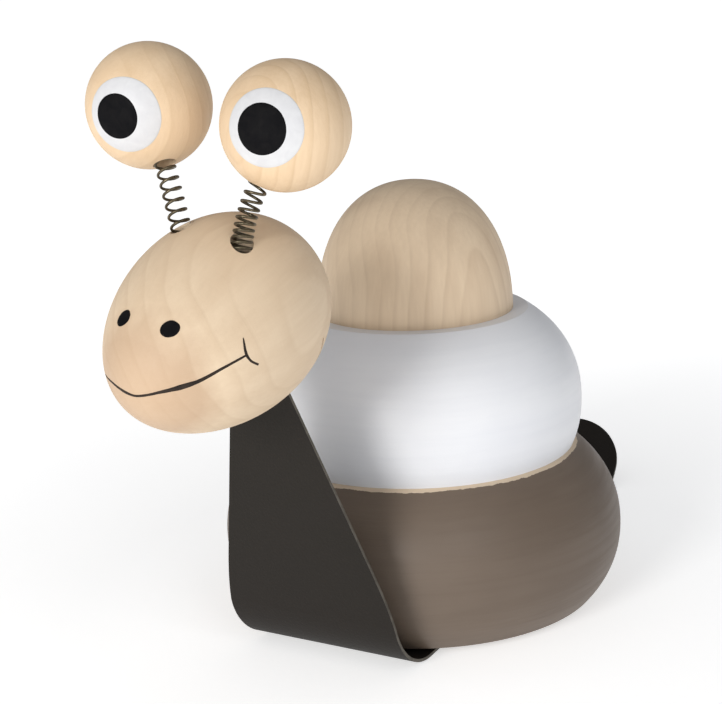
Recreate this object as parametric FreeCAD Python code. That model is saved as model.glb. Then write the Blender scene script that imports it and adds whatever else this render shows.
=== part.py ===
import FreeCAD, Part
import math
import os

# A wooden snail on a folded steel strip. Millimetres, +X towards the head, +Y the snail's left, +Z up.
# The origin is where the shell's upright axis meets the ground.

# ---------------------------------------------------------------- driving dimensions
SHEET = 1.0                  # thickness of the steel strip

FOLD_X = 70.9                # where the neck's outer face would meet the ground without its bend
FOLD_RADIUS = 25.5           # outer radius of the bend between base and neck
NECK_LEAN = 15.1             # degrees that the neck leans forward of upright
NECK_LENGTH = 115.5          # from the middle of the bend to the blunt tip inside the head
CORNER_S = 19.4              # where the neck's taper starts, up from the middle of the bend
CORNER_HALF_WIDTH = 29.5     # half the strip's width there
CORNER_BLEND = 6.0           # how gently one taper turns into the other
NECK_TAPER = 0.263           # half-width lost per millimetre up the neck
BASE_TAPER = 0.036           # half-width lost per millimetre towards the tail
BASE_LENGTH = 184.0          # from the middle of the front bend to the start of the tail's bend
TAIL_RADIUS = 12.0           # outer radius of the bend that turns the tail up
TAIL_RISE = 43.0             # degrees
TAIL_TIP_S = 196.0           # developed distance from the middle of the front bend to the tip's centre

LOWER_HEIGHT = 52.7          # turned shell, brown piece
LOWER_RADIUS = 68.2
LOWER_WIDEST = 23.9          # height of its widest place above its underside
LOWER_REACH = 42.5           # vertical half-axis of its superellipse
LOWER_POWER = 2.16
LOWER_FOOT_RADIUS = 50.5     # its flat underside, clear of the strip's front bend
LOWER_FOOT_RISE = 1.9        # height of the sloped edge round the flat underside

MIDDLE_HEIGHT = 46.3         # turned shell, white piece
MIDDLE_RADIUS = 55.4
MIDDLE_WIDEST = 15.1
MIDDLE_REACH = 40.25
MIDDLE_POWER = 2.216

TOP_HEIGHT = 43.5            # turned shell, bare dome
TOP_RADIUS = 32.9
TOP_POWER = 2.19

SEAM_CHAMFER = 0.8           # height of the broken edge on the brown piece's upper rim
SEAM_CHAMFER_SLOPE = 1.6     # how far that edge runs inwards, as a multiple of its height
DOWEL_RADIUS = 5.0
DOWEL_IN_LOWER = 34.0
DOWEL_IN_TOP = 20.0
DOWEL_GLUE_GAP = 1.5         # empty space under and over the dowel
DOWEL_CHAMFER = 1.0
GLUE_LINE = 0.03             # radial gap of a glued dowel or driven screw

SCREW_COUNT = 3
SCREW_CIRCLE = 20.0          # radius of the circle that the screws stand on
SCREW_LENGTH = 20.0
SCREW_HEAD_RADIUS = 3.6
SCREW_CREST = 1.75           # outer radius of the thread
SCREW_ROOT = 1.2
SCREW_PITCH = 1.6
SCREW_POINT = 4.0            # length of the smooth point beyond the last thread
SCREW_RECESS = 0.1           # how far the head lies inside the strip's underside
CROSS_LENGTH = 4.0           # cross recess in the screw's head
CROSS_WIDTH = 1.0
CROSS_DEPTH = 1.3

HEAD_CENTRE = FreeCAD.Vector(116.1, 0, 120.2)
HEAD_PITCH = 15.2            # degrees that the snout points below level
HEAD_HALF_LENGTH = 38.9
HEAD_RADIUS = 27.6
HEAD_EGG = -0.106            # slimmer towards the snout where negative
KERF = 1.3                   # width of the saw cut that takes the neck
KERF_END = 1.0               # free depth of the cut past the neck's tip
KERF_TOOL_WIDTH = 120.0      # size of the cutting slab, past the head on every open side
KERF_TOOL_REACH = 80.0

EYE_RADIUS = 17.5
SPRING_OUTER_RADIUS = 3.0
WIRE_RADIUS = 0.4
SPRING_IN_SOCKET = 4.5
SOCKET_DEPTH = 5.5
SOCKET_RADIUS = 3.2
SOCKET_RUN_PAST = 5.0        # how far the socket's cutting tool runs past the surface

# Each spring starts at base, on the head's skin, leaning back and tilted outwards, and the weight of its
# eye has bent it further outwards by droop degrees over its free length. Crowding is how much closer its
# turns stand at the head than on average, as a share. The wire is drawn through so many points for a turn
# of mean pitch. The two differ a little, as hand-fitted springs do.
SPRINGS = {
    "left": {
        "side": 1, "base": (119.6, 12.9, 144.6), "lean_back": 18.9, "tilt": 0, "droop": 21.3,
        "length": 15.4, "turns": 7.5, "crowding": 0.32, "points_per_turn": 18,
    },
    "right": {
        "side": -1, "base": (118.3, -7.7, 147.2), "lean_back": 15.1, "tilt": 22.1, "droop": 1.6,
        "length": 18.5, "turns": 6.0, "crowding": 0, "points_per_turn": 16,
    },
}

Y = FreeCAD.Vector(0, 1, 0)
Z = FreeCAD.Vector(0, 0, 1)
ORIGIN = FreeCAD.Vector(0, 0, 0)


def export(name, shape):
    shape.exportStep("parts/" + name + ".step")


def smooth(points):
    """An edge through the points, as one smooth curve."""
    curve = Part.BSplineCurve()
    curve.interpolate(points)
    return curve.toShape()


# ---------------------------------------------------------------- steel strip: base, neck and tail
# s runs along the outer face of the strip: 0 in the middle of the front bend, up the neck as it grows,
# back along the ground to the tail as it falls.

FOLD_ANGLE = math.radians(90 - NECK_LEAN)
HALF_ARC = FOLD_RADIUS * FOLD_ANGLE / 2
TANGENT = FOLD_RADIUS * math.tan(FOLD_ANGLE / 2)
TAIL_ANGLE = math.radians(TAIL_RISE)
TAIL_BEND_S = -BASE_LENGTH
TAIL_FLAT_S = TAIL_BEND_S - TAIL_RADIUS * TAIL_ANGLE


def half_width(s):
    """Half the strip's width, one taper blended into the other."""
    mean = (NECK_TAPER + BASE_TAPER) / 2
    half_change = (NECK_TAPER - BASE_TAPER) / 2
    up = s - CORNER_S
    return CORNER_HALF_WIDTH - mean * (math.hypot(up, CORNER_BLEND) - CORNER_BLEND) - half_change * up


def strip_frame(s):
    """The outer face's point on the middle line at s, and the direction into the sheet."""
    start = FOLD_X - TANGENT
    if s >= -HALF_ARC:
        turn = min((s + HALF_ARC) / FOLD_RADIUS, FOLD_ANGLE)
        rest = max(s - HALF_ARC, 0)
        x = start + FOLD_RADIUS * math.sin(turn) + rest * math.cos(FOLD_ANGLE)
        z = FOLD_RADIUS * (1 - math.cos(turn)) + rest * math.sin(FOLD_ANGLE)
        return FreeCAD.Vector(x, 0, z), FreeCAD.Vector(-math.sin(turn), 0, math.cos(turn))
    run = -HALF_ARC - s
    flat = min(run, BASE_LENGTH - HALF_ARC)
    turn = min((run - flat) / TAIL_RADIUS, TAIL_ANGLE)
    rest = max(run - flat - TAIL_RADIUS * TAIL_ANGLE, 0)
    x = start - flat - TAIL_RADIUS * math.sin(turn) - rest * math.cos(TAIL_ANGLE)
    z = TAIL_RADIUS * (1 - math.cos(turn)) + rest * math.sin(TAIL_ANGLE)
    return FreeCAD.Vector(x, 0, z), FreeCAD.Vector(math.sin(turn), 0, math.cos(turn))


def section(s):
    """The strip's cross-section at s, a thin upright rectangle."""
    point, inward = strip_frame(s)
    side = Y * half_width(s)
    corners = [point - side, point + side, point + side + inward * SHEET, point - side + inward * SHEET]
    return Part.makePolygon(corners + corners[:1])


def bend(start, end, steps):
    stations = [start + (end - start) * i / steps for i in range(steps + 1)]
    return Part.makeLoft([section(s) for s in stations], True, False)


def edge_points(start, end, side, steps=8):
    points = []
    for i in range(steps + 1):
        s = start + (end - start) * i / steps
        points.append(strip_frame(s)[0] + Y * (side * half_width(s)))
    return points


def flat_stretch(start, end, cap=None):
    """A flat piece of the strip between two stations, closed at its end by a line or by the cap edge."""
    left = edge_points(start, end, 1)
    right = edge_points(start, end, -1)
    if cap is None:
        cap = Part.makeLine(left[-1], right[-1])
    outline = [smooth(left), cap, smooth(right), Part.makeLine(left[0], right[0])]
    face = Part.Face(Part.Wire(Part.__sortEdges__(outline)))
    return face.extrude(strip_frame((start + end) / 2)[1] * SHEET)


def tail_cap():
    """The round end of the tail, an arc over the strip's full width."""
    ends = [strip_frame(-TAIL_TIP_S)[0] + Y * (side * half_width(-TAIL_TIP_S)) for side in (1, -1)]
    top = strip_frame(-TAIL_TIP_S - half_width(-TAIL_TIP_S))[0]
    return Part.Arc(ends[0], top, ends[1]).toShape()


def screw_places():
    for i in range(SCREW_COUNT):
        angle = math.pi + 2 * math.pi * i / SCREW_COUNT
        yield FreeCAD.Vector(SCREW_CIRCLE * math.cos(angle), SCREW_CIRCLE * math.sin(angle), 0)


def countersink(place, clearance):
    """The tapered space that a screw's head fills, as a cone from the ground up."""
    low = SCREW_HEAD_RADIUS + SCREW_RECESS + clearance
    return Part.makeCone(low, low - SCREW_HEAD_RADIUS, SCREW_HEAD_RADIUS, place, Z)


def make_foot():
    foot = flat_stretch(-HALF_ARC, TAIL_BEND_S)
    neck = [bend(-HALF_ARC, HALF_ARC, 12), flat_stretch(HALF_ARC, NECK_LENGTH)]
    tail = [bend(TAIL_BEND_S, TAIL_FLAT_S, 10), flat_stretch(TAIL_FLAT_S, -TAIL_TIP_S, tail_cap())]
    foot = foot.fuse(neck + tail)
    for place in screw_places():
        foot = foot.cut(countersink(place, GLUE_LINE))
    return foot.removeSplitter()


# ---------------------------------------------------------------- turned shell
LOWER_Z = SHEET
MIDDLE_Z = LOWER_Z + LOWER_HEIGHT
TOP_Z = MIDDLE_Z + MIDDLE_HEIGHT
SHELL_TOP_Z = TOP_Z + TOP_HEIGHT


def superellipse(radius, reach, power, rise):
    """Radius at a height above or below the widest place."""
    return radius * max(1 - abs(rise / reach) ** power, 0) ** (1 / power)


def turned(points, axis_low, axis_high, above=(), below=()):
    """A solid turned about the shell's axis, with corner points above and below its curved outline."""
    chain = [points[-1], *above, axis_high, axis_low, *below, points[0]]
    lines = [Part.makeLine(a, b) for a, b in zip(chain, chain[1:]) if a.distanceToPoint(b) > 1e-6]
    face = Part.Face(Part.Wire([smooth(points)] + lines))
    return face.revolve(ORIGIN, Z, 360)


def outline(base_z, low, high, widest, radius, reach, power, steps=12):
    """Points on the turned outline between two heights above base_z."""
    points = []
    for i in range(steps + 1):
        rise = low + (high - low) * i / steps
        r = superellipse(radius, reach, power, rise - widest)
        points.append(FreeCAD.Vector(r, 0, base_z + rise))
    return points


def make_lower():
    curved = LOWER_HEIGHT - SEAM_CHAMFER
    points = outline(LOWER_Z, LOWER_FOOT_RISE, curved, LOWER_WIDEST, LOWER_RADIUS, LOWER_REACH, LOWER_POWER)
    rim = FreeCAD.Vector(points[-1].x - SEAM_CHAMFER_SLOPE * SEAM_CHAMFER, 0, MIDDLE_Z)
    foot = FreeCAD.Vector(LOWER_FOOT_RADIUS, 0, LOWER_Z)
    shape = turned(points, Z * LOWER_Z, Z * MIDDLE_Z, [rim], [foot])
    bore_z = MIDDLE_Z - DOWEL_IN_LOWER - DOWEL_GLUE_GAP
    shape = shape.cut(Part.makeCylinder(DOWEL_RADIUS + GLUE_LINE, MIDDLE_Z - bore_z, Z * bore_z))
    for place in screw_places():
        shape = shape.cut(countersink(place, GLUE_LINE))
        pilot = Part.makeCylinder(SCREW_CREST + GLUE_LINE, SCREW_LENGTH + 1, place)
        shape = shape.cut(pilot)
    return shape


def make_middle():
    points = outline(MIDDLE_Z, 0, MIDDLE_HEIGHT, MIDDLE_WIDEST, MIDDLE_RADIUS, MIDDLE_REACH, MIDDLE_POWER)
    shape = turned(points, Z * MIDDLE_Z, Z * TOP_Z)
    return shape.cut(Part.makeCylinder(DOWEL_RADIUS + GLUE_LINE, MIDDLE_HEIGHT, Z * MIDDLE_Z))


def make_top():
    points = []
    steps = 14
    for i in range(steps + 1):
        rise = TOP_HEIGHT * math.sin(math.pi / 2 * i / steps)
        radius = superellipse(TOP_RADIUS, TOP_HEIGHT, TOP_POWER, rise)
        points.append(FreeCAD.Vector(radius, 0, TOP_Z + rise))
    shape = turned(points, Z * TOP_Z, Z * SHELL_TOP_Z)
    return shape.cut(Part.makeCylinder(DOWEL_RADIUS + GLUE_LINE, DOWEL_IN_TOP + DOWEL_GLUE_GAP, Z * TOP_Z))


def make_dowel():
    low = MIDDLE_Z - DOWEL_IN_LOWER
    length = TOP_Z + DOWEL_IN_TOP - low
    dowel = Part.makeCylinder(DOWEL_RADIUS, length, Z * low)
    return dowel.makeChamfer(DOWEL_CHAMFER, [e for e in dowel.Edges if isinstance(e.Curve, Part.Circle)])


def make_screw(place):
    """A countersunk wood screw, head down at the ground, with ring threads and a cross recess."""
    head_z = SCREW_RECESS
    neck_z = head_z + SCREW_HEAD_RADIUS - SCREW_ROOT
    tip_z = head_z + SCREW_LENGTH
    profile = [(0, head_z), (SCREW_HEAD_RADIUS, head_z), (SCREW_ROOT, neck_z)]
    z = neck_z + SCREW_PITCH
    while z < tip_z - SCREW_POINT:
        profile += [(SCREW_ROOT, z), (SCREW_CREST, z + SCREW_PITCH / 2)]
        z += SCREW_PITCH
    profile += [(SCREW_ROOT, z), (0, tip_z)]
    corners = [FreeCAD.Vector(r, 0, h) for r, h in profile]
    body = Part.Face(Part.makePolygon(corners + corners[:1])).revolve(ORIGIN, Z, 360)
    for angle in (0, 90):
        corner = FreeCAD.Vector(-CROSS_LENGTH / 2, -CROSS_WIDTH / 2, 0)
        slot = Part.makeBox(CROSS_LENGTH, CROSS_WIDTH, head_z + CROSS_DEPTH, corner)
        slot.rotate(ORIGIN, Z, angle)
        body = body.cut(slot)
    body.translate(place)
    return body


# ---------------------------------------------------------------- head
HEAD_AXIS = FreeCAD.Vector(math.cos(math.radians(HEAD_PITCH)), 0, -math.sin(math.radians(HEAD_PITCH)))


def egg(steps=16):
    """An egg turned about its long axis, slimmer towards the snout, its outline in two smooth halves."""
    up = FreeCAD.Vector(-HEAD_AXIS.z, 0, HEAD_AXIS.x)
    points = []
    for i in range(steps + 1):
        turn = math.pi * i / steps
        radius = HEAD_RADIUS * math.sin(turn) * (1 + HEAD_EGG * math.cos(turn))
        points.append(HEAD_CENTRE + HEAD_AXIS * (HEAD_HALF_LENGTH * math.cos(turn)) + up * radius)
    front = Part.BSplineCurve()
    front.interpolate(points)
    back = front.copy()
    middle = front.parameter(points[steps // 2])
    front.segment(front.FirstParameter, middle)
    back.segment(middle, back.LastParameter)
    axis = Part.makeLine(points[-1], points[0])
    face = Part.Face(Part.Wire([front.toShape(), back.toShape(), axis]))
    return face.revolve(HEAD_CENTRE, HEAD_AXIS, 360)


def kerf_cut():
    """The saw cut across the underside, in the plane of the neck."""
    tip, inward = strip_frame(NECK_LENGTH)
    along = (tip - strip_frame(HALF_ARC)[0]).normalize()
    corner = tip + along * KERF_END - inward * ((KERF - SHEET) / 2) - Y * (KERF_TOOL_WIDTH / 2)
    across = Y * KERF_TOOL_WIDTH
    down = -along * KERF_TOOL_REACH
    slab = Part.makePolygon([corner, corner + across, corner + across + down, corner + down, corner])
    return Part.Face(slab).extrude(inward * KERF)


def make_head():
    head = egg().cut(kerf_cut())
    for spring in SPRINGS.values():
        head = head.cut(socket(spring, 0, -1))
    return head


# ---------------------------------------------------------------- eyes on springs
def spring_frame(spring, s):
    """Centre, tangent and outward direction of the spring's axis, at s along it from the head's skin."""
    lean = math.radians(spring["lean_back"])
    tilt = math.radians(spring["tilt"])
    droop = math.radians(spring["droop"])
    length = spring["length"]
    upright = FreeCAD.Vector(-math.sin(lean), 0, math.cos(lean))
    outward = Y * spring["side"]
    within = min(max(s, 0), length)
    turn = tilt + droop * within / length
    bow = length / droop
    tangent = outward * math.sin(turn) + upright * math.cos(turn)
    normal = outward * math.cos(turn) - upright * math.sin(turn)
    centre = FreeCAD.Vector(*spring["base"]) + outward * (bow * (math.cos(tilt) - math.cos(turn)))
    centre = centre + upright * (bow * (math.sin(turn) - math.sin(tilt))) + tangent * (s - within)
    return centre, tangent, normal


def socket(spring, s, direction):
    """The round hole that takes a spring's end, running past the surface on its open side."""
    centre, tangent, _ = spring_frame(spring, s)
    start = centre - tangent * (direction * SOCKET_RUN_PAST)
    return Part.makeCylinder(SOCKET_RADIUS, SOCKET_DEPTH + SOCKET_RUN_PAST, start, tangent * direction)


def make_eye(spring):
    end, tangent, _ = spring_frame(spring, spring["length"])
    ball = Part.makeSphere(EYE_RADIUS, end + tangent * EYE_RADIUS)
    return ball.cut(socket(spring, spring["length"], 1))


def coil_angle(spring, s):
    """How far the wire has turned at s, the turns standing closer together towards the head."""
    share = s / spring["length"]
    within = min(max(share, 0), 1)
    crowding = spring["crowding"]
    turned_by = within + crowding * within * (1 - within)
    turned_by += (share - within) * (1 + crowding * (1 - 2 * within))
    return 2 * math.pi * spring["turns"] * turned_by


def coil(spring, start, end):
    """The wire between two places along the spring's bent axis."""
    steps = int((end - start) * spring["turns"] / spring["length"] * spring["points_per_turn"])
    radius = SPRING_OUTER_RADIUS - WIRE_RADIUS
    points = []
    for i in range(steps + 1):
        s = start + (end - start) * i / steps
        centre, tangent, normal = spring_frame(spring, s)
        across = tangent.cross(normal)
        angle = coil_angle(spring, s)
        points.append(centre + normal * (radius * math.cos(angle)) + across * (radius * math.sin(angle)))
    path = smooth(points)
    first = path.FirstParameter
    ring = Part.Wire(Part.makeCircle(WIRE_RADIUS, path.valueAt(first), path.tangentAt(first)))
    return Part.Wire(path).makePipeShell([ring], True, True)


# ---------------------------------------------------------------- write every piece
os.makedirs("parts", exist_ok=True)

export("foot_plate", make_foot())
export("shell_lower", make_lower())
export("shell_middle", make_middle())
export("shell_top", make_top())
export("shell_dowel", make_dowel())
export("base_screws", Part.makeCompound([make_screw(place) for place in screw_places()]))
export("head", make_head())
for name, spring in SPRINGS.items():
    half = spring["length"] / 2
    export(name + "_eye", make_eye(spring))
    export(name + "_spring_lower", coil(spring, -SPRING_IN_SOCKET, half))
    export(name + "_spring_upper", coil(spring, half, spring["length"] + SPRING_IN_SOCKET))
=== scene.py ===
"""The looks of a wooden snail: turned pale wood, painted shell, folded steel strip, eyes on coil springs.

Metres, +X towards the head, +Y the snail's left, +Z up, the origin under the middle of the shell.
"""
import math

import bmesh
import bpy
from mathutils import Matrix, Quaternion, Vector, noise


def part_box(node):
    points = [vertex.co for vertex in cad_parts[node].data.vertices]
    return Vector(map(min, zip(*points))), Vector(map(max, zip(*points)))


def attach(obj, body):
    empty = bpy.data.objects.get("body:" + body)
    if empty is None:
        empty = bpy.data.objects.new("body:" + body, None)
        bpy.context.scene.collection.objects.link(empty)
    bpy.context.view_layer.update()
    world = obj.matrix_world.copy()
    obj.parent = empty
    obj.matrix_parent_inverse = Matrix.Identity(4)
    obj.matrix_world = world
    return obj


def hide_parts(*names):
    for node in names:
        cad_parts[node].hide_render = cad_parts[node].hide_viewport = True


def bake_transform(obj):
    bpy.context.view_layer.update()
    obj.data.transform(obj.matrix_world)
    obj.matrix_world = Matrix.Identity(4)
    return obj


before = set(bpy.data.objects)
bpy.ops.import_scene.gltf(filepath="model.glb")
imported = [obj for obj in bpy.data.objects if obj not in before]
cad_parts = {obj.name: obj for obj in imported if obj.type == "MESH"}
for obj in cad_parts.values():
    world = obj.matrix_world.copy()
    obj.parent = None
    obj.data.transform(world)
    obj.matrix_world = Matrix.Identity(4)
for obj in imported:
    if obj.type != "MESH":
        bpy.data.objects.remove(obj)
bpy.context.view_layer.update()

MM = 0.001
Y = Vector((0, 1, 0))
Z = Vector((0, 0, 1))
SIDES = {"left": 1, "right": -1}


def box_centre(node):
    low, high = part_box(node)
    return (low + high) / 2


# ---------------------------------------------------------------- sizes that the frame doesn't hold
HEAD_CENTRE = Vector((116.1, 0, 120.2)) * MM
HEAD_PITCH = math.radians(15.2)
HEAD_HALF_LENGTH = 38.9 * MM
HEAD_RADIUS = 27.6 * MM
HEAD_EGG = -0.106
HEAD_AXIS = Vector((math.cos(HEAD_PITCH), 0, -math.sin(HEAD_PITCH)))
EYE_RADIUS = 17.5 * MM
COIL_RADIUS = 2.6 * MM
WIRE_RADIUS = 0.4 * MM
SPRING_IN_SOCKET = 4.5 * MM
SPRINGS = {
    "left": {
        "base": (119.6, 12.9, 144.6), "lean_back": 18.9, "tilt": 0, "droop": 21.3,
        "length": 15.4, "turns": 7.5, "crowding": 0.32,
    },
    "right": {
        "base": (118.3, -7.7, 147.2), "lean_back": 15.1, "tilt": 22.1, "droop": 1.6,
        "length": 18.5, "turns": 6.0, "crowding": 0,
    },
}
SHELL_SEAM_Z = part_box("shell_middle")[0].z
SHELL_RIM = 1.1 * MM          # depth of the bare edge at the top of the brown piece


# ---------------------------------------------------------------- material helpers
class Nodes:
    """A short way to write a node tree."""

    def __init__(self, name):
        self.material = bpy.data.materials.new(name)
        self.material.use_nodes = True
        self.tree = self.material.node_tree
        self.tree.nodes.clear()
        self.shader = self.tree.nodes.new("ShaderNodeBsdfPrincipled")
        output = self.tree.nodes.new("ShaderNodeOutputMaterial")
        self.link(self.shader.outputs["BSDF"], output.inputs["Surface"])
        self.place = self.tree.nodes.new("ShaderNodeTexCoord").outputs["Object"]

    def link(self, source, target):
        self.tree.links.new(source, target)

    def put(self, value, target):
        if isinstance(value, bpy.types.NodeSocket):
            self.link(value, target)
        else:
            target.default_value = value

    def add(self, kind, inputs=(), **settings):
        node = self.tree.nodes.new(kind)
        for key, value in settings.items():
            setattr(node, key, value)
        for key, value in dict(inputs).items():
            self.put(value, node.inputs[key])
        return node

    def maths(self, operation, a, b=0.0, clamp=False):
        return self.add("ShaderNodeMath", {0: a, 1: b}, operation=operation, use_clamp=clamp).outputs[0]

    def turned_place(self, centre, axis, stretch=(1, 1, 1)):
        """Coordinates about centre with Z along axis, then scaled, so that grain can run along it."""
        turn = Z.rotation_difference(Vector(axis)).inverted()
        start = self.add("ShaderNodeVectorMath", {0: self.place, 1: Vector(centre)}, operation="SUBTRACT")
        turned = self.add("ShaderNodeVectorRotate", {0: start.outputs[0]}, rotation_type="EULER_XYZ")
        turned.inputs["Rotation"].default_value = turn.to_euler()
        scaled = self.add("ShaderNodeVectorMath", {0: turned.outputs[0], 1: stretch}, operation="MULTIPLY")
        return scaled.outputs[0]

    def noise(self, place, scale, detail=3.0, roughness=0.55, distortion=0.0):
        inputs = {"Vector": place, "Scale": scale, "Detail": detail, "Roughness": roughness}
        inputs["Distortion"] = distortion
        return self.add("ShaderNodeTexNoise", inputs).outputs["Fac"]

    def ramp(self, value, *stops):
        """A colour ramp. Each stop is a position and a colour or grey level."""
        ramp = self.add("ShaderNodeValToRGB", {"Fac": value})
        elements = ramp.color_ramp.elements
        while len(elements) < len(stops):
            elements.new(0.5)
        for element, (position, colour) in zip(elements, stops):
            element.position = position
            if isinstance(colour, (int, float)):
                colour = (colour, colour, colour)
            element.color = (*colour, 1)
        return ramp.outputs["Color"]

    def mix(self, share, a, b, blend="MIX"):
        node = self.add("ShaderNodeMix", data_type="RGBA", blend_type=blend)
        for key, value in (("Factor_Float", share), ("A_Color", a), ("B_Color", b)):
            socket = next(s for s in node.inputs if s.identifier == key)
            if isinstance(value, tuple) and len(value) == 3:
                value = (*value, 1)
            self.put(value, socket)
        return next(s for s in node.outputs if s.identifier == "Result_Color")

    def bump(self, *layers):
        """Bump from layers of height, each a value and its depth in metres."""
        normal = None
        for height, depth in layers:
            node = self.add("ShaderNodeBump", {"Height": height, "Distance": depth, "Strength": 1.0})
            if normal is not None:
                self.link(normal, node.inputs["Normal"])
            normal = node.outputs["Normal"]
        self.link(normal, self.shader.inputs["Normal"])

    def finish(self, colour, roughness, **constants):
        self.put(colour, self.shader.inputs["Base Color"])
        self.put(roughness, self.shader.inputs["Roughness"])
        for key, value in constants.items():
            self.shader.inputs[key.replace("_", " ")].default_value = value
        return self.material


# ---------------------------------------------------------------- materials
def turned_wood(name, centre, axis, pith, light, dark, end_colour=None, end_reach=0.0, seed=0.0):
    """Sanded pale wood. The grain runs along axis, and the tree's heart lies at pith, sideways from centre."""
    n = Nodes(name)
    along = n.turned_place(centre, axis)
    drift = n.add("ShaderNodeVectorMath", {0: along, 1: (seed, -seed, 2 * seed)}, operation="ADD").outputs[0]
    slow = n.add("ShaderNodeTexNoise", {"Vector": drift, "Scale": 16.0, "Detail": 2.0}).outputs["Color"]
    sway = n.add("ShaderNodeVectorMath", {0: slow, 1: (0.5, 0.5, 0.5)}, operation="SUBTRACT").outputs[0]
    sway = n.add("ShaderNodeVectorMath", {0: sway, 1: (0.016, 0.016, 0.0)}, operation="MULTIPLY").outputs[0]
    bent = n.add("ShaderNodeVectorMath", {0: along, 1: sway}, operation="ADD").outputs[0]
    from_pith = n.add("ShaderNodeVectorMath", {0: bent, 1: (*pith, 0)}, operation="SUBTRACT").outputs[0]
    flat = n.add("ShaderNodeVectorMath", {0: from_pith, 1: (1, 1, 0.10)}, operation="MULTIPLY").outputs[0]
    radius = n.add("ShaderNodeVectorMath", {0: flat}, operation="LENGTH").outputs["Value"]

    ring = n.maths("FRACT", n.maths("MULTIPLY", radius, 210.0))
    late = n.ramp(ring, (0.0, 0.0), (0.62, 0.25), (0.9, 1.0), (1.0, 0.0))
    fibre_place = n.turned_place(centre, axis, (1, 1, 0.05))
    fibres = n.noise(fibre_place, 900.0, 4.0, 0.6)
    long_streaks = n.noise(n.turned_place(centre, axis, (1, 1, 0.09)), 120.0, 3.0, 0.5)
    clouds = n.noise(drift, 30.0, 3.0, 0.6)

    ring_share = n.maths("MULTIPLY", late, n.ramp(clouds, (0.3, 0.12), (0.75, 0.5)))
    colour = n.mix(ring_share, light, dark)
    colour = n.mix(n.ramp(long_streaks, (0.42, 0.0), (0.75, 0.42)), colour, dark)
    colour = n.mix(n.ramp(fibres, (0.35, 0.0), (0.8, 0.22)), colour, dark)
    colour = n.mix(n.ramp(clouds, (0.3, 0.22), (0.62, 0.0)), colour, tuple(c * 1.1 for c in light))
    if end_colour:
        height = n.add("ShaderNodeSeparateXYZ", {0: along}).outputs["Z"]
        ragged = n.maths("ADD", height, n.maths("MULTIPLY", n.noise(drift, 60.0, 3.0), 0.012))
        near_end = n.ramp(n.maths("DIVIDE", ragged, end_reach), (0.80, 0.0), (1.22, 0.62))
        colour = n.mix(near_end, colour, end_colour)
    roughness = n.ramp(fibres, (0.3, 0.50), (0.8, 0.64))
    lathe = n.noise(n.turned_place(centre, axis, (0.15, 0.15, 1)), 700.0, 1.0)
    n.bump((fibres, 0.00006), (late, 0.00003), (lathe, 0.00003))
    return n.finish(colour, roughness, IOR=1.45, Specular_IOR_Level=0.35)


def shell_paint(name, colour, light_colour, dark_colour, rough, bare=None):
    """Satin paint brushed on turning wood, with fine rings of brush marks. bare is the colour of a worn rim."""
    n = Nodes(name)
    rings = n.noise(n.turned_place((0, 0, 0), Z, (0.06, 0.06, 1)), 420.0, 4.0, 0.62)
    wide = n.noise(n.turned_place((0, 0, 0), Z, (0.12, 0.12, 1)), 75.0, 3.0, 0.5)
    clouds = n.noise(n.place, 24.0, 3.0, 0.55)
    grain = n.noise(n.place, 1500.0, 2.0)
    out = n.mix(n.ramp(wide, (0.36, 0.0), (0.72, 0.6)), colour, light_colour)
    out = n.mix(n.ramp(clouds, (0.42, 0.0), (0.75, 0.5)), out, dark_colour)
    out = n.mix(n.ramp(rings, (0.45, 0.0), (0.8, 0.28)), out, dark_colour)
    roughness = n.ramp(rings, (0.3, rough - 0.07), (0.8, rough + 0.1))
    if bare:
        up = n.add("ShaderNodeSeparateXYZ", {0: n.place}).outputs["Z"]
        chips = n.noise(n.turned_place((0, 0, 0), Z, (1, 1, 0.3)), 260.0, 4.0, 0.7)
        slow = n.noise(n.place, 45.0, 2.0)
        edge = n.maths("SUBTRACT", up, SHELL_SEAM_Z - SHELL_RIM)
        edge = n.maths("ADD", n.maths("DIVIDE", edge, SHELL_RIM), n.maths("MULTIPLY", chips, 0.9))
        edge = n.maths("ADD", edge, n.maths("MULTIPLY", slow, 0.6))
        rim = n.ramp(edge, (0.97, 0.0), (1.0, 1.0))
        out = n.mix(rim, out, bare)
        roughness = n.mix(rim, roughness, (0.75, 0.75, 0.75))
    n.bump((rings, 0.00010), (wide, 0.00012), (grain, 0.00002))
    return n.finish(out, roughness, IOR=1.5, Specular_IOR_Level=0.45)


def strip_paint():
    """Fine matt powder coat on steel, with a patchy painted highlight along the thin side edges."""
    n = Nodes("strip_paint")
    peel = n.noise(n.place, 1100.0, 3.0, 0.5)
    speck = n.noise(n.place, 4200.0, 2.0, 0.5)
    clouds = n.noise(n.place, 18.0, 3.0, 0.6)
    out = n.mix(n.ramp(clouds, (0.3, 0.0), (0.7, 1.0)), (0.0175, 0.0150, 0.0120), (0.0215, 0.0180, 0.0155))
    out = n.mix(n.ramp(speck, (0.55, 0.0), (0.8, 0.5)), out, (0.035, 0.030, 0.026))
    facing = n.add("ShaderNodeNewGeometry").outputs["True Normal"]
    facing = n.add("ShaderNodeVectorTransform", {0: facing}, vector_type="NORMAL",
                   convert_from="WORLD", convert_to="OBJECT").outputs[0]
    sideways = n.maths("ABSOLUTE", n.add("ShaderNodeSeparateXYZ", {0: facing}).outputs["Y"])
    # painted highlight: faces turned sideways (the strip's thin edges) are painted paler in noisy patches
    painted_edge_highlight = n.maths("MULTIPLY", n.ramp(sideways, (0.6, 0.0), (0.85, 1.0)), n.noise(n.place, 300.0, 3.0))
    out = n.mix(painted_edge_highlight, out, (0.20, 0.18, 0.15))
    n.bump((peel, 0.00010), (speck, 0.00003))
    return n.finish(out, n.ramp(clouds, (0.3, 0.52), (0.7, 0.62)), Specular_IOR_Level=0.12)


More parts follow.
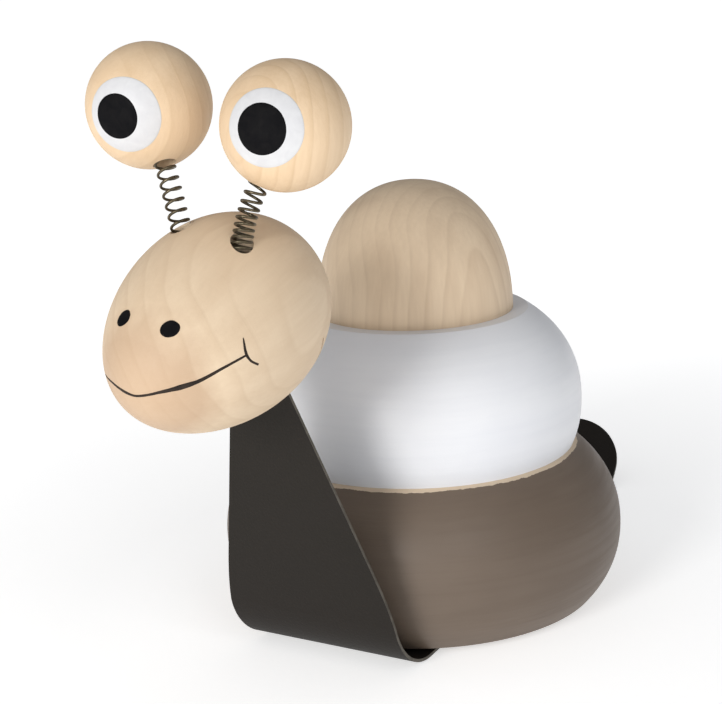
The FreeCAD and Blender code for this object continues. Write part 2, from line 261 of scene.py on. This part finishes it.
def wire_metal():
    """Dark bronzed spring wire with drawing lines and brighter rubbed spots."""
    n = Nodes("spring_steel")
    blotch = n.noise(n.place, 700.0, 4.0, 0.65)
    fine = n.noise(n.place, 5200.0, 2.0)
    dark, middling, rubbed = (0.055, 0.045, 0.028), (0.12, 0.10, 0.065), (0.26, 0.225, 0.16)
    out = n.ramp(blotch, (0.3, dark), (0.55, middling), (0.8, rubbed))
    n.bump((fine, 0.00002), (blotch, 0.00003))
    return n.finish(out, n.ramp(blotch, (0.3, 0.42), (0.8, 0.28)), Metallic=0.85)


def zinc():
    """Zinc-plated screw steel."""
    n = Nodes("screw_steel")
    blotch = n.noise(n.place, 600.0, 4.0, 0.6)
    out = n.ramp(blotch, (0.3, (0.42, 0.41, 0.38)), (0.75, (0.66, 0.65, 0.60)))
    n.bump((n.noise(n.place, 2500.0, 2.0), 0.00003))
    return n.finish(out, n.ramp(blotch, (0.3, 0.45), (0.75, 0.28)), Metallic=1.0)


def mark_paint(name, colour, other, rough, gloss):
    """Thick hand-applied paint of a face mark, with brush ripples."""
    n = Nodes(name)
    ripple = n.noise(n.place, 380.0, 3.0, 0.5, 0.6)
    fine = n.noise(n.place, 2600.0, 2.0)
    out = n.mix(n.ramp(ripple, (0.35, 0.0), (0.75, 1.0)), colour, other)
    n.bump((ripple, 0.00008), (fine, 0.00001))
    roughness = n.ramp(fine, (0.3, rough - 0.04), (0.8, rough + 0.06))
    return n.finish(out, roughness, Specular_IOR_Level=gloss)


PALE = (0.745, 0.590, 0.420)
PALE_DARK = (0.60, 0.44, 0.29)
materials = {
    "head": turned_wood("head_wood", HEAD_CENTRE, HEAD_AXIS, (0.010, -0.028), PALE, PALE_DARK,
                        (0.46, 0.30, 0.19), HEAD_HALF_LENGTH, 0.3),
    "top": turned_wood("shell_top_wood", (0, 0, 0), Z, (0.012, 0.034), PALE, (0.54, 0.39, 0.26), seed=1.7),
    "dowel": turned_wood("dowel_wood", (0, 0, 0), Z, (0.02, 0.01), PALE, PALE_DARK, seed=2.9),
    "brown": shell_paint("shell_brown", (0.150, 0.112, 0.083), (0.180, 0.137, 0.104),
                         (0.118, 0.086, 0.063), 0.52, (0.62, 0.50, 0.37)),
    "white": shell_paint("shell_white", (0.80, 0.81, 0.84), (0.86, 0.865, 0.88), (0.72, 0.73, 0.77), 0.42),
    "strip": strip_paint(),
    "wire": wire_metal(),
    "zinc": zinc(),
    "mark_white": mark_paint("mark_white", (0.60, 0.60, 0.615), (0.65, 0.65, 0.66), 0.50, 0.3),
    "mark_black": mark_paint("mark_black", (0.005, 0.005, 0.006), (0.009, 0.0085, 0.009), 0.60, 0.04),
    "mark_ink": mark_paint("mark_ink", (0.020, 0.014, 0.011), (0.045, 0.032, 0.024), 0.55, 0.15),
}
EYE_WOOD = (0.76, 0.575, 0.385)
EYE_WOOD_DARK = (0.58, 0.395, 0.225)
EYE_GRAIN = {                 # the grain's direction, the pith's place and a seed
    "left": ((0.25, 0.35, 0.9), (0.030, -0.012), 4.1),
    "right": ((0.2, 0.55, 0.8), (-0.026, 0.020), 5.6),
}
for side, (axis, pith, seed) in EYE_GRAIN.items():
    materials[side + "_eye"] = turned_wood(side + "_eye_wood", box_centre(side + "_eye"), axis, pith,
                                           EYE_WOOD, EYE_WOOD_DARK, seed=seed)

NODE_MATERIALS = {
    "foot_plate": "strip", "shell_lower": "brown", "shell_middle": "white", "shell_top": "top",
    "shell_dowel": "dowel", "base_screws": "zinc", "head": "head",
    "left_eye": "left_eye", "right_eye": "right_eye",
}
for node, key in NODE_MATERIALS.items():
    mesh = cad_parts[node].data
    mesh.materials.clear()
    mesh.materials.append(materials[key])


# ---------------------------------------------------------------- mesh helpers
def new_piece(name, bm, material):
    bmesh.ops.recalc_face_normals(bm, faces=bm.faces)
    mesh = bpy.data.meshes.new(name)
    bm.to_mesh(mesh)
    bm.free()
    mesh.materials.append(materials[material])
    piece = bpy.data.objects.new(name, mesh)
    bpy.context.scene.collection.objects.link(piece)
    return piece


def skin(bm, rings, closed_ends=True):
    """Faces between rings of vertices, with both ends closed."""
    count = len(rings[0])
    for lower, upper in zip(rings, rings[1:]):
        for i in range(count):
            j = (i + 1) % count
            bm.faces.new((lower[i], lower[j], upper[j], upper[i])).smooth = True
    if closed_ends:
        bm.faces.new(rings[0])
        bm.faces.new(rings[-1])


def direction(azimuth, elevation):
    """A unit vector, azimuth from +X towards +Y and elevation above level, in degrees."""
    a, e = math.radians(azimuth), math.radians(elevation)
    return Vector((math.cos(e) * math.cos(a), math.cos(e) * math.sin(a), math.sin(e)))


def on_head(way):
    """The head's surface in a direction from its centre, and its outward normal."""
    along = way.dot(HEAD_AXIS)
    aside = way - HEAD_AXIS * along
    wanted = math.atan2(aside.length, along)

    def outline(turn):
        radius = HEAD_RADIUS * math.sin(turn) * (1 + HEAD_EGG * math.cos(turn))
        return HEAD_HALF_LENGTH * math.cos(turn), radius

    low, high = 0.0, math.pi
    for _ in range(40):
        middle = (low + high) / 2
        x, r = outline(middle)
        if math.atan2(r, x) < wanted:
            low = middle
        else:
            high = middle
    x, r = outline(low)
    aside = aside.normalized() if aside.length > 1e-9 else Y.copy()
    step = 1e-4
    x2, r2 = outline(low + step)
    normal = (HEAD_AXIS * (r2 - r) - aside * (x2 - x)).normalized()
    return HEAD_CENTRE + HEAD_AXIS * x + aside * r, normal


PAINT_SUNK = 0.25 * MM        # how far a paint film's underside lies inside the wood


def paint_patch(name, surface, way, outline, material, height, rings=10, spokes=64):
    """A closed film of paint lying on a surface. outline gives its angular reach at each turn round way."""
    turn_to = Z.rotation_difference(way)
    bm = bmesh.new()

    def point(angle, share, lift):
        reach = outline(angle) * share
        aside = math.sin(reach)
        local = Vector((aside * math.cos(angle), aside * math.sin(angle), math.cos(reach)))
        place, normal = surface(turn_to @ local)
        return bm.verts.new(place + normal * lift)

    angles = [2 * math.pi * i / spokes for i in range(spokes)]
    levels = [(1.0, -PAINT_SUNK), (1.0, 0.0)]
    for i in range(rings + 1):
        share = math.cos(math.pi / 2 * i / rings)
        rounded = min((1 - share) * 22, 1.0)
        levels.append((max(share, 0.02), height * math.sqrt(1 - (1 - rounded) ** 2)))
    rows = [[point(a, share, lift) for a in angles] for share, lift in levels[:2]]
    rows += [[point(a, share, lift) for a in angles] for share, lift in levels[3:]]
    under = [[point(a, share, -PAINT_SUNK) for a in angles] for share in (0.6, 0.05)]
    skin(bm, under[::-1] + rows)
    return new_piece(name, bm, material)


def brush_stroke(name, places, material, height=0.10 * MM, around=10):
    """A painted line on the head. Each place is an azimuth, an elevation and the line's width in mm."""
    samples = []
    for i in range(len(places) - 1):
        before, a, b, after = (places[max(0, min(k, len(places) - 1))] for k in (i - 1, i, i + 1, i + 2))
        for step in range(10):
            t = step / 10
            samples.append(tuple(
                0.5 * (2 * q + (r - p) * t + (2 * p - 5 * q + 4 * r - s) * t * t
                       + (3 * q - p - 3 * r + s) * t ** 3)
                for p, q, r, s in zip(before, a, b, after)))
    samples.append(places[-1])
    spots = [on_head(direction(azimuth, elevation)) for azimuth, elevation, _ in samples]
    bm = bmesh.new()
    rows = []
    for i, (place, normal) in enumerate(spots):
        ahead = (spots[min(i + 1, len(spots) - 1)][0] - spots[max(i - 1, 0)][0]).normalized()
        across = normal.cross(ahead).normalized()
        wobble = 1 + 0.14 * noise.noise(place * 420)
        half = max(samples[i][2] * MM / 2 * wobble, 0.03 * MM)
        row = []
        for k in range(around):
            angle = 2 * math.pi * k / around
            aside = place + across * (half * math.cos(angle))
            skin_place, skin_normal = on_head((aside - HEAD_CENTRE).normalized())
            lift = math.sin(angle)
            lift = height * lift if lift > 0 else 0.2 * MM * lift
            row.append(bm.verts.new(skin_place + skin_normal * lift))
        rows.append(row)
    skin(bm, rows)
    return new_piece(name, bm, material)


# ---------------------------------------------------------------- face marks on the head
def oval(half_width, half_height, slant, ragged=0.05, seed=0.0):
    """An oval's angular reach round its middle, slightly uneven as hand-painted."""
    def reach(angle):
        a = angle - slant
        r = half_width * half_height / math.hypot(half_height * math.cos(a), half_width * math.sin(a))
        return r * (1 + ragged * noise.noise(Vector((math.cos(angle) * 1.3, math.sin(angle) * 1.3, seed))))
    return reach


NOSTRILS = {"left": (15.0, 11.7, 2.15, 2.55, 0.5), "right": (-11.3, 14.7, 2.1, 2.5, 0.4)}
for side, (azimuth, elevation, across, tall, slant) in NOSTRILS.items():
    way = direction(azimuth, elevation)
    distance = (on_head(way)[0] - HEAD_CENTRE).length
    shape = oval(across * MM / distance, tall * MM / distance, slant, 0.06, SIDES[side])
    nostril = paint_patch(side + "_nostril", on_head, way, shape, "mark_black", 0.13 * MM, 6, 40)
    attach(nostril, "snail")

SMILE = [
    (-21.5, -11.3, 0.25), (-20.5, -11.7, 0.45), (-13.7, -12.2, 0.75), (-8.3, -13.3, 0.85),
    (-3.7, -14.5, 0.95), (0.5, -15.2, 0.75), (5.8, -14.6, 0.75), (10.8, -13.7, 0.85),
    (16.0, -13.0, 1.15), (20.3, -12.4, 1.45), (27.3, -11.1, 1.05), (36.7, -7.9, 0.8),
    (44.0, -5.6, 0.7), (49.7, -3.9, 0.55),
]
CHEEK = [
    (49.2, 5.2, 0.25), (49.4, 2.5, 0.55), (49.7, -1.2, 0.75),
    (50.6, -4.4, 0.8), (52.9, -7.6, 0.7), (57, -10.3, 0.6),
]
for name, places in {"smile": SMILE, "cheek_line": CHEEK}.items():
    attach(brush_stroke(name, places, "mark_ink"), "snail")


# ---------------------------------------------------------------- painted eyes
EYE_MARKS = {
    "left": {"white": (12.6, 4.4, 35.4), "pupil": (10.7, 3.7, 22.3)},
    "right": {"white": (11.4, -3.5, 35.4), "pupil": (5.9, -3.8, 20.4)},
}


def on_ball(centre):
    def surface(way):
        return centre + way * EYE_RADIUS, way.copy()
    return surface


def eye_centre(side):
    """The ball's middle. Its box is whole in the directions away from the spring's socket."""
    low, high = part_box(side + "_eye")
    return Vector(((low.x + high.x) / 2, (low.y + high.y) / 2, high.z - EYE_RADIUS))


EYE_LAYERS = (("white", 0.10 * MM, "mark_white"), ("pupil", 0.20 * MM, "mark_black"))

for side, marks in EYE_MARKS.items():
    ball = on_ball(eye_centre(side))
    for seed, (part, height, material) in enumerate(EYE_LAYERS):
        azimuth, elevation, reach = marks[part]
        shape = oval(math.radians(reach), math.radians(reach * 1.01), 0.0, 0.012, seed + SIDES[side] * 3)
        patch = paint_patch(side + "_eye_" + part, ball, direction(azimuth, elevation), shape,
                            material, height, 14, 96)
        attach(patch, side + "_eye_ball")


# ---------------------------------------------------------------- springs
def spring_frame(side, s):
    """Centre, tangent and outward direction of the spring's axis, at s along it from the head's skin."""
    spring = SPRINGS[side]
    lean = math.radians(spring["lean_back"])
    tilt = math.radians(spring["tilt"])
    droop = math.radians(spring["droop"])
    length = spring["length"] * MM
    upright = Vector((-math.sin(lean), 0, math.cos(lean)))
    outward = Y * SIDES[side]
    within = min(max(s, 0), length)
    turn = tilt + droop * within / length
    bow = length / droop
    tangent = outward * math.sin(turn) + upright * math.cos(turn)
    normal = outward * math.cos(turn) - upright * math.sin(turn)
    centre = Vector(spring["base"]) * MM + outward * (bow * (math.cos(tilt) - math.cos(turn)))
    rise = bow * (math.sin(turn) - math.sin(tilt))
    return centre + upright * rise + tangent * (s - within), tangent, normal


def wire_point(side, s):
    spring = SPRINGS[side]
    share = s / (spring["length"] * MM)
    within = min(max(share, 0), 1)
    turned_by = within + spring["crowding"] * within * (1 - within)
    turned_by += (share - within) * (1 + spring["crowding"] * (1 - 2 * within))
    angle = 2 * math.pi * spring["turns"] * turned_by
    centre, tangent, normal = spring_frame(side, s)
    across = tangent.cross(normal)
    return centre + normal * (COIL_RADIUS * math.cos(angle)) + across * (COIL_RADIUS * math.sin(angle))


def coil_piece(name, side, start, end, around=14, per_turn=40):
    """A stretch of the spring's wire as a closed tube."""
    spring = SPRINGS[side]
    steps = int((end - start) / (spring["length"] * MM) * spring["turns"] * per_turn)
    nudge = 1e-6
    bm = bmesh.new()
    rows = []
    for i in range(steps + 1):
        s = start + (end - start) * i / steps
        place = wire_point(side, s)
        ahead = (wire_point(side, s + nudge) - wire_point(side, s - nudge)).normalized()
        out = (place - spring_frame(side, s)[0]).normalized()
        over = ahead.cross(out).normalized()
        out = over.cross(ahead)
        row = []
        for k in range(around):
            angle = 2 * math.pi * k / around
            row.append(bm.verts.new(place + (out * math.cos(angle) + over * math.sin(angle)) * WIRE_RADIUS))
        rows.append(row)
    skin(bm, rows)
    for edge in bm.edges:
        if len(edge.link_faces) == 2 and len({f.smooth for f in edge.link_faces}) == 2:
            edge.smooth = False
    return new_piece(name, bm, "wire")


for side in SIDES:
    length = SPRINGS[side]["length"] * MM
    stretches = {
        "foot": (-SPRING_IN_SOCKET, length / 4, 0, length / 4, "snail", side + "_spring_foot"),
        "middle": (length / 4, 3 * length / 4, length / 4, 3 * length / 4,
                   side + "_spring_foot", side + "_spring_head"),
        "head": (3 * length / 4, length + SPRING_IN_SOCKET, 3 * length / 4, length,
                 side + "_spring_head", side + "_eye_ball"),
    }
    for part, (start, end, bend_start, bend_end, below, above) in stretches.items():
        piece = coil_piece(f"{side}_spring_wire_{part}", side, start, end)
        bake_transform(piece)
        if part == "foot":
            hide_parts(side + "_spring_lower")
        if part == "head":
            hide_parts(side + "_spring_upper")


# ---------------------------------------------------------------- floor, light and camera
FLOOR_GLOW_NEAR = 0.52        # the white sweep is lit from below, more so away from the object
FLOOR_GLOW_FAR = 0.78
FLOOR_GLOW_START = 0.12
FLOOR_GLOW_END = 0.45


def floor_paint():
    """Plain white studio floor, lit from below."""
    n = Nodes("studio_floor")
    distance = n.add("ShaderNodeVectorMath", {0: n.place}, operation="LENGTH").outputs["Value"]
    glow = n.add("ShaderNodeMapRange", {"Value": distance,
                                        "From Min": FLOOR_GLOW_START, "From Max": FLOOR_GLOW_END,
                                        "To Min": FLOOR_GLOW_NEAR, "To Max": FLOOR_GLOW_FAR})
    n.link(glow.outputs["Result"], n.shader.inputs["Emission Strength"])
    n.bump((n.noise(n.place, 300.0, 2.0), 0.00002))
    return n.finish((0.85, 0.85, 0.85, 1), 0.8, Specular_IOR_Level=0.1, Emission_Color=(1, 1, 1, 1))


FLOOR_SIZE = 60.0
FLOOR_THICK = 0.02
FLOOR_GAP = 0.05 * MM         # keeps the floor's face off the strip's underside
floor_mesh = bmesh.new()
bmesh.ops.create_cube(floor_mesh, size=1.0)
bmesh.ops.scale(floor_mesh, verts=floor_mesh.verts, vec=(FLOOR_SIZE, FLOOR_SIZE, FLOOR_THICK))
bmesh.ops.translate(floor_mesh, verts=floor_mesh.verts, vec=(0, 0, -FLOOR_THICK / 2 - FLOOR_GAP))
floor_data = bpy.data.meshes.new("floor")
floor_mesh.to_mesh(floor_data)
floor_mesh.free()
floor_data.materials.append(floor_paint())
floor = bpy.data.objects.new("floor", floor_data)
bpy.context.scene.collection.objects.link(floor)


def soft_light(name, place, target, size, power, colour=(1, 1, 1)):
    data = bpy.data.lights.new(name, "AREA")
    data.shape = "DISK"
    data.size = size
    data.energy = power
    data.color = colour
    light = bpy.data.objects.new(name, data)
    light.location = place
    light.rotation_mode = "QUATERNION"
    light.rotation_quaternion = (Vector(target) - Vector(place)).to_track_quat("-Z", "Y")
    bpy.context.scene.collection.objects.link(light)


MIDDLE = (0.02, 0, 0.08)
CAMERA_AZIMUTH = 28.25        # from +X towards +Y
CAMERA_ELEVATION = 17.73
LIGHT_DISTANCE = 1.3
key_place = Vector(MIDDLE) + direction(CAMERA_AZIMUTH - 30, 17) * LIGHT_DISTANCE
fill_place = Vector(MIDDLE) + direction(CAMERA_AZIMUTH + 25, 30) * LIGHT_DISTANCE
soft_light("key_light", key_place, MIDDLE, 0.45, 8.6, (1, 0.985, 0.96))
soft_light("fill_light", fill_place, MIDDLE, 0.8, 3.1, (0.95, 0.97, 1))

SKY_COLOUR = (0.97, 0.98, 1.0, 1)
SKY_STRENGTH = 0.30
world = bpy.data.worlds.new("studio")
world.use_nodes = True
world.node_tree.nodes["Background"].inputs["Color"].default_value = SKY_COLOUR
world.node_tree.nodes["Background"].inputs["Strength"].default_value = SKY_STRENGTH
bpy.context.scene.world = world

CAMERA_FOCUS = Vector((0.00902, -0.01679, 0.08533))
CAMERA_DISTANCE = 0.5548
CAMERA_ORBIT = Vector((0, 0, 0.04954))
CAMERA_PLACE = CAMERA_ORBIT + direction(CAMERA_AZIMUTH, CAMERA_ELEVATION) * CAMERA_DISTANCE
CAMERA_ROLL = math.radians(-2.54)
camera_data = bpy.data.cameras.new("camera")
camera_data.lens = 79.8
camera_data.sensor_width = 36.0
camera_data.clip_start = 0.01
camera_data.clip_end = 50
camera = bpy.data.objects.new("camera", camera_data)
camera.location = CAMERA_PLACE
camera.rotation_mode = "QUATERNION"
aim = (CAMERA_FOCUS - CAMERA_PLACE).to_track_quat("-Z", "Y")
camera.rotation_quaternion = aim @ Quaternion((0, 0, 1), CAMERA_ROLL)
bpy.context.scene.collection.objects.link(camera)
bpy.context.scene.camera = camera
bpy.context.scene.view_settings.view_transform = "Standard"
